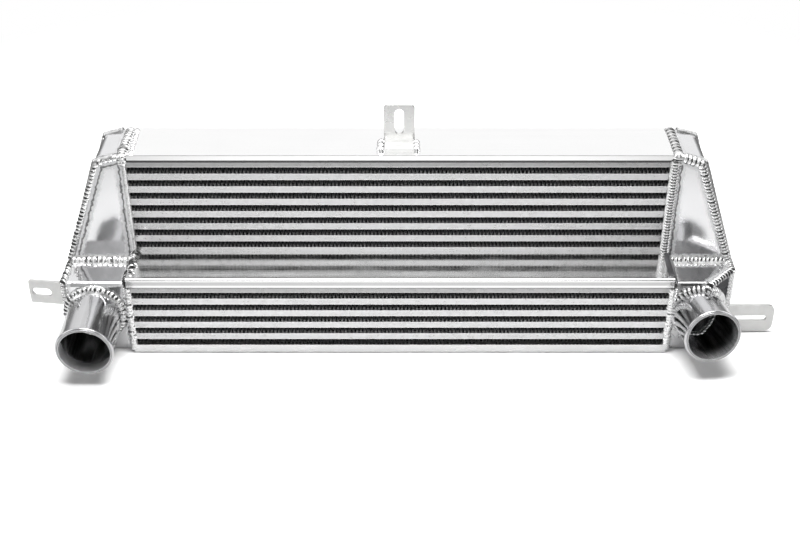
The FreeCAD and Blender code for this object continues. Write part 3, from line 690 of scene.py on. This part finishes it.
def ripple_tree():
    """Tree that lays tilted round puddles along paths, each turned outwards from its seam."""
    tree = bpy.data.node_groups.new("weld_ripples", "GeometryNodeTree")
    wanted = {
        "Path": "NodeSocketGeometry", "Pitch": "NodeSocketFloat", "Half Height": "NodeSocketFloat",
        "Half Width": "NodeSocketFloat", "Half Length": "NodeSocketFloat", "Tilt": "NodeSocketFloat",
        "Unevenness": "NodeSocketFloat", "Seed": "NodeSocketInt", "Metal": "NodeSocketMaterial",
    }
    for name, kind in wanted.items():
        tree.interface.new_socket(name=name, in_out="INPUT", socket_type=kind)
    tree.interface.new_socket(name="Beads", in_out="OUTPUT", socket_type="NodeSocketGeometry")
    given = tree.nodes.new("NodeGroupInput").outputs
    curve = geometry_node(tree, "GeometryNodeMeshToCurve", {"Mesh": given["Path"]})
    points = geometry_node(tree, "GeometryNodeCurveToPoints",
                           {"Curve": curve.outputs["Curve"], "Length": given["Pitch"]}, mode="LENGTH")
    outward = geometry_node(tree, "GeometryNodeInputNamedAttribute", data_type="FLOAT_VECTOR")
    outward.inputs["Name"].default_value = "outward"
    along = geometry_node(tree, "FunctionNodeAlignRotationToVector",
                          {"Vector": points.outputs["Tangent"]}, axis="Z")
    turned = geometry_node(tree, "FunctionNodeAlignRotationToVector",
                           {"Rotation": along.outputs["Rotation"], "Vector": outward.outputs["Attribute"]},
                           axis="X", pivot_axis="Z")
    sway = geometry_node(tree, "FunctionNodeRandomValue", {"Seed": given["Seed"]}, data_type="FLOAT_VECTOR")
    sway.inputs["Min"].default_value = least_sway
    sway.inputs["Max"].default_value = most_sway
    uneven = geometry_node(tree, "ShaderNodeVectorMath",
                           {0: sway.outputs["Value"], "Scale": given["Unevenness"]}, operation="SCALE")
    lean = geometry_node(tree, "ShaderNodeCombineXYZ", {"Y": given["Tilt"]})
    leaning = geometry_node(tree, "ShaderNodeVectorMath",
                            {0: uneven.outputs["Vector"], 1: lean.outputs["Vector"]}, operation="ADD")
    turn = geometry_node(tree, "FunctionNodeEulerToRotation", {"Euler": leaning.outputs["Vector"]})
    rotation = geometry_node(tree, "FunctionNodeRotateRotation",
                             {"Rotation": turned.outputs["Rotation"], "Rotate By": turn.outputs["Rotation"]},
                             rotation_space="LOCAL")
    size = geometry_node(tree, "ShaderNodeCombineXYZ",
                         {"X": given["Half Height"], "Y": given["Half Width"], "Z": given["Half Length"]})
    swell = geometry_node(tree, "FunctionNodeRandomValue", {"Seed": given["Seed"]}, data_type="FLOAT_VECTOR")
    swell.inputs["Min"].default_value = least_swell
    swell.inputs["Max"].default_value = most_swell
    swelling = geometry_node(tree, "ShaderNodeVectorMath",
                             {0: swell.outputs["Value"], "Scale": given["Unevenness"]}, operation="SCALE")
    scaled = geometry_node(tree, "ShaderNodeVectorMath",
                           {0: size.outputs["Vector"], 1: swelling.outputs["Vector"],
                            2: size.outputs["Vector"]}, operation="MULTIPLY_ADD")
    puddle = geometry_node(tree, "GeometryNodeMeshUVSphere")
    puddle.inputs["Segments"].default_value = puddle_segments
    puddle.inputs["Rings"].default_value = puddle_rings
    puddle.inputs["Radius"].default_value = 1.0
    place = geometry_node(tree, "GeometryNodeInputPosition")
    split = geometry_node(tree, "ShaderNodeSeparateXYZ", {"Vector": place.outputs["Position"]})
    marked = geometry_node(tree, "GeometryNodeStoreNamedAttribute",
                           {"Geometry": puddle.outputs["Mesh"], "Value": split.outputs["Z"]},
                           data_type="FLOAT", domain="POINT")
    marked.inputs["Name"].default_value = "rim"
    smooth = geometry_node(tree, "GeometryNodeSetShadeSmooth", {"Geometry": marked.outputs["Geometry"]})
    row = geometry_node(tree, "GeometryNodeInstanceOnPoints",
                        {"Points": points.outputs["Points"], "Instance": smooth.outputs["Geometry"],
                         "Rotation": rotation.outputs["Rotation"], "Scale": scaled.outputs["Vector"]})
    real = geometry_node(tree, "GeometryNodeRealizeInstances", {"Geometry": row.outputs["Instances"]})
    done = geometry_node(tree, "GeometryNodeSetMaterial",
                         {"Geometry": real.outputs["Geometry"], "Material": given["Metal"]})
    given_back = tree.nodes.new("NodeGroupOutput")
    tree.links.new(done.outputs["Geometry"], given_back.inputs["Beads"])
    return tree


ripples = ripple_tree()


def path_mesh(name, runs):
    """Mesh of bare edges along the runs, each corner with its direction away from the seam."""
    corners = []
    edges = []
    away = []
    for run in runs:
        first = len(corners)
        corners += [point for point, _ in run]
        away += [Vector(outward).normalized() for _, outward in run]
        edges += [(i, i + 1) for i in range(first, len(corners) - 1)]
    mesh = bpy.data.meshes.new(name)
    mesh.from_pydata(corners, edges, [])
    stored = mesh.attributes.new("outward", "FLOAT_VECTOR", "POINT")
    for item, direction in zip(stored.data, away):
        item.vector = direction
    return mesh


def rippled_bead(name, runs, half_width, pitch, unevenness, fullness, tilt=usual_tilt, half_height=None):
    """Piece with a row of weld puddles along each run, round unless half_height is given."""
    bead = bpy.data.objects.new(name, path_mesh(name + "_path", runs))
    scene.collection.objects.link(bead)
    modifier = bead.modifiers.new("ripples", "NODES")
    modifier.node_group = ripples
    values = {
        "Pitch": pitch, "Half Width": half_width, "Half Height": half_height or half_width,
        "Half Length": pitch * fullness, "Tilt": tilt, "Unevenness": unevenness, "Seed": len(name),
        "Metal": weld_metal,
    }
    for item in ripples.interface.items_tree:
        if item.in_out == "INPUT" and item.name in values:
            modifier[item.identifier] = values[item.name]
    evaluated = bead.evaluated_get(bpy.context.evaluated_depsgraph_get())
    solid = bpy.data.meshes.new_from_object(evaluated)
    bead.modifiers.remove(modifier)
    bead.data = solid
    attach(bead, "root")
    return bead


def straight(points, outward):
    return [(point, outward) for point in points]


upwards = (0.0, 0.0, 1.0)
forwards = (0.0, -1.0, 0.0)
backwards = (0.0, 1.0, 0.0)
up_and_forwards = (0.0, -1.0, 1.0)
bead_sink = 0.0012
front_bead_sink = 0.0002
foot_gap = 0.0032
even_tilt = 0.25
rough_fullness = 0.80
rear_y = tank_rear - 0.0040
lap_joint = {"inset": 0.0022, "sink": 0.0008, "foot_gap": 0.0020, "top_gap": 0.0060,
             "outward": (-0.3, -1.0, 0.0), "half_width": 0.0046, "unevenness": 0.04}
top_joint = {"drop": 0.0070, "rear_gap": 0.0030, "front_gap": 0.0035, "front_outward": (0.0, -1.0, 0.4),
             "half_width": 0.0052, "half_height": 0.0040, "fullness": 0.84}
cap_edge = {"start": 0.0060, "start_drop": 0.0020, "end_gap": 0.0040, "turn_gap": 0.0010,
            "turn_drop": 0.0020, "leans": (0.1, 0.2, 0.6)}
shoulder_drop = 0.0030
rear_joint_half_width = 0.0040
fillet = {"inner_gap": 0.0040, "outer_gap": 0.0030, "half_width": 0.0058}
lower_joint = {"out": 0.0004, "forward": 0.0030, "foot_gap": 0.0040, "half_width": 0.0043,
               "half_height": 0.0042, "pitch": 0.0034, "fullness": 1.15, "tilt": -0.15}
step_joint = {"rear_gap": 0.0020, "lift": 0.0020, "second_in": 0.0030, "second_rear_gap": 0.0040,
              "second_rear_drop": 0.0010, "second_front_drop": 0.0030, "outward": (0.5, 0.0, 1.0),
              "half_width": 0.0056, "half_height": 0.0048, "pitch": 0.0040, "unevenness": 0.45}
second_top = {"front_in": 0.0078, "rear_in": 0.0072, "front_gap": 0.0020, "rear_gap": 0.0060,
              "half_width": 0.0026, "half_height": 0.0014, "pitch": 0.0034, "unevenness": 0.30}
ledge_edge = {"half_width": 0.0039, "foot_gap": 0.0030, "cut_forward": 0.0010, "cut_drop": 0.0010,
              "end_in": 0.0020, "end_forward": 0.0020, "end_drop": 0.0040}
ledge_outwards = ((1.0, 0.0, 1.0), (1.0, -0.3, 1.0), (0.6, -0.7, 1.0), (0.3, -1.0, 0.4))
bead_habits = {
    "left": {"unevenness": 0.20, "pitch": 0.0036, "fullness": 0.80, "top_pitch": 0.0042,
             "outer_pitch": 0.0040, "outer_width": 0.0031, "outer_inset": -0.0008,
             "fillet_pitch": 0.0046, "fillet_tilt": 0.25, "fillet_fullness": 1.15,
             "lower_unevenness": 0.40, "ring_unevenness": 0.20},
    "right": {"unevenness": 0.08, "pitch": 0.0029, "fullness": 0.74, "top_pitch": 0.0056,
              "outer_pitch": 0.0036, "outer_width": 0.0048, "outer_inset": 0.0018,
              "fillet_pitch": 0.0036, "fillet_tilt": 0.70, "fillet_fullness": 0.86,
              "lower_unevenness": 0.30, "ring_unevenness": 0.10},
}
for word, side in SIDES.items():
    habit = bead_habits[word]
    unevenness = habit["unevenness"]
    pitch = habit["pitch"]
    fullness = habit["fullness"]

    def at(x, y, z):
        return (side * x, y, z)

    if side > 0.0:
        lap_x = core_end - lap_joint["inset"]
        lap_y = plate_front + lap_joint["sink"]
        rippled_bead(word + "_upper_joint_ripples",
                     [straight([at(lap_x, lap_y, core_ledge + lap_joint["foot_gap"]),
                                at(lap_x, lap_y, core_top - lap_joint["top_gap"])],
                               at(*lap_joint["outward"]))],
                     lap_joint["half_width"], pitch, lap_joint["unevenness"], fullness, tilt=even_tilt)
    top_y = plate_front + bead_sink
    top_z = core_top - bead_sink
    rippled_bead(word + "_top_joint_ripples",
                 [straight([at(core_end, top_y, top_z), at(core_end, top_y, core_top - top_joint["drop"])],
                           top_joint["front_outward"]),
                  straight([at(core_end, tank_rear - top_joint["rear_gap"], top_z),
                            at(core_end, top_y + top_joint["front_gap"], top_z)], upwards)],
                 top_joint["half_width"], habit["top_pitch"], unevenness, top_joint["fullness"],
                 tilt=even_tilt, half_height=top_joint["half_height"])
    slope = Vector((shoulder[1] - slope_foot, 0.0, tank_side - shoulder[0])).normalized()
    cap_end = shoulder[0] - habit["outer_inset"]
    slope_end = tank_side - bead_sink - habit["outer_inset"]
    for end, y, facing in (("front", plate_front + front_bead_sink, -1.0), ("rear", rear_y, 1.0)):
        floor_z = tank_ledge - bead_sink if end == "front" else tank_base + foot_gap
        runs = [[(at(tank_side - bead_sink, y, floor_z), at(1.0, facing, 0.0)),
                 (at(slope_end, y, slope_foot), at(slope.x, facing, slope.z)),
                 (at(cap_end, y, shoulder[1] - shoulder_drop), at(slope.x, facing, slope.z))]]
        if end == "front":
            cap_places = ((core_end + cap_edge["start"], core_top - cap_edge["start_drop"]),
                          (cap_end - cap_edge["end_gap"], shoulder[1]),
                          (cap_end - cap_edge["turn_gap"], shoulder[1] - cap_edge["turn_drop"]))
            runs.append([(at(x, y, z), at(lean, facing, 1.0))
                         for (x, z), lean in zip(cap_places, cap_edge["leans"])])
        rippled_bead(word + "_" + end + "_corner_ripples", runs, habit["outer_width"],
                     habit["outer_pitch"], unevenness, fullness, tilt=even_tilt)
    rippled_bead(word + "_rear_joint_ripples",
                 [straight([at(core_end, rear_y, top_z), at(core_end, rear_y, tank_base + foot_gap)],
                           backwards)],
                 rear_joint_half_width, pitch, unevenness, fullness)
    rippled_bead(word + "_ledge_fillet_ripples",
                 [straight([at(core_end + fillet["inner_gap"], plate_front, tank_ledge),
                            at(tank_side - fillet["outer_gap"], plate_front, tank_ledge)],
                           up_and_forwards)],
                 fillet["half_width"], habit["fillet_pitch"], unevenness, habit["fillet_fullness"],
                 tilt=habit["fillet_tilt"])
    joint_x = core_end + lower_joint["out"]
    joint_y = tank_front - lower_joint["forward"]
    rippled_bead(word + "_lower_joint_ripples",
                 [straight([at(joint_x, joint_y, tank_base + lower_joint["foot_gap"]),
                            at(joint_x, joint_y, tank_ledge - fold_depth)], forwards)],
                 lower_joint["half_width"], lower_joint["pitch"], habit["lower_unevenness"],
                 lower_joint["fullness"], tilt=lower_joint["tilt"],
                 half_height=lower_joint["half_height"])
    if side < 0.0:
        step_z = tank_ledge + step_joint["lift"]
        second_x = core_end - step_joint["second_in"]
        outward = at(*step_joint["outward"])
        first_pass = [at(core_end, plate_front - step_joint["rear_gap"], step_z),
                      at(core_end, tank_front, step_z)]
        second_pass = [at(second_x, plate_front - step_joint["second_rear_gap"],
                          core_ledge - step_joint["second_rear_drop"]),
                       at(second_x, tank_front, core_ledge - step_joint["second_front_drop"])]
        rippled_bead(word + "_step_joint_ripples",
                     [straight(first_pass, outward), straight(second_pass, outward)],
                     step_joint["half_width"], step_joint["pitch"], step_joint["unevenness"],
                     rough_fullness, half_height=step_joint["half_height"])
        rippled_bead(word + "_second_top_ripples",
                     [straight([at(core_end - second_top["front_in"], top_y + second_top["front_gap"],
                                   core_top),
                                at(core_end - second_top["rear_in"], tank_rear - second_top["rear_gap"],
                                   core_top)], upwards)],
                     second_top["half_width"], second_top["pitch"], second_top["unevenness"],
                     rough_fullness, half_height=second_top["half_height"])
    corner_y = tank_front + (cut_back if side > 0.0 else bead_sink)
    edge_x = tank_side - bead_sink
    cut_x = tank_side - cut_across
    edge_places = [(edge_x, plate_front + bead_sink, tank_ledge), (edge_x, corner_y, tank_ledge)]
    if side > 0.0:
        edge_places.append((cut_x, tank_front - ledge_edge["cut_forward"],
                            tank_ledge - ledge_edge["cut_drop"]))
        edge_places.append((cut_x - ledge_edge["end_in"], tank_front - ledge_edge["end_forward"],
                            tank_ledge - ledge_edge["end_drop"]))
    edge = [(at(*spot), at(*outward)) for spot, outward in zip(edge_places, ledge_outwards)]
    upright = straight([at(edge_x, corner_y, tank_ledge - bead_sink),
                        at(edge_x, corner_y, tank_base + ledge_edge["foot_gap"])], at(1.0, -1.0, 0.0))
    rippled_bead(word + "_ledge_edge_ripples", [edge, upright], ledge_edge["half_width"],
                 habit["outer_pitch"], unevenness, fullness)

bracket_bead = {"pitch": 0.0046, "half_height": 0.0036, "lift": 0.0010, "end_gap": 0.0030}
bracket_beads = {
    "left": {"x": bracket_low.x - 0.0022, "half_width": 0.0052, "unevenness": 0.45},
    "right": {"x": bracket_high.x + 0.0014, "half_width": 0.0040, "unevenness": 0.20},
}
for word, facts in bracket_beads.items():
    bead_z = core_top + bracket_bead["lift"]
    rippled_bead("top_bracket_" + word + "_ripples",
                 [straight([(facts["x"], bracket_low.y + bracket_bead["end_gap"], bead_z),
                            (facts["x"], bracket_high.y - bracket_bead["end_gap"], bead_z)], upwards)],
                 facts["half_width"], bracket_bead["pitch"], facts["unevenness"], rough_fullness,
                 half_height=bracket_bead["half_height"])

ring_radius = 0.0262
ring_forward = 0.0008
ring_steps = 72
ring_half_width = 0.0046
ring_pitch = 0.0040
ring_fullness = 0.78


def corner_front(x):
    """How far back the cut corner of the right tank stands behind its front plate."""
    past = x - (tank_side - cut_across)
    return max(0.0, past) * cut_back / cut_across


for word, side in SIDES.items():
    start, way = pipe_axis(word, side)
    across = way.cross(Vector(upwards)).normalized()
    up = across.cross(way)
    ring = []
    for step in range(ring_steps + 1):
        angle = 2.0 * math.pi * step / ring_steps
        away = across * math.cos(angle) + up * math.sin(angle)
        point = start + away * ring_radius
        deep = corner_front(side * point.x) if side > 0.0 else 0.0
        back = (tank_front + deep - ring_forward - point.y) / way.y
        ring.append((point + way * back, away + way))
    rippled_bead(word + "_pipe_ring_ripples", [ring], ring_half_width, ring_pitch,
                 bead_habits[word]["ring_unevenness"], ring_fullness)
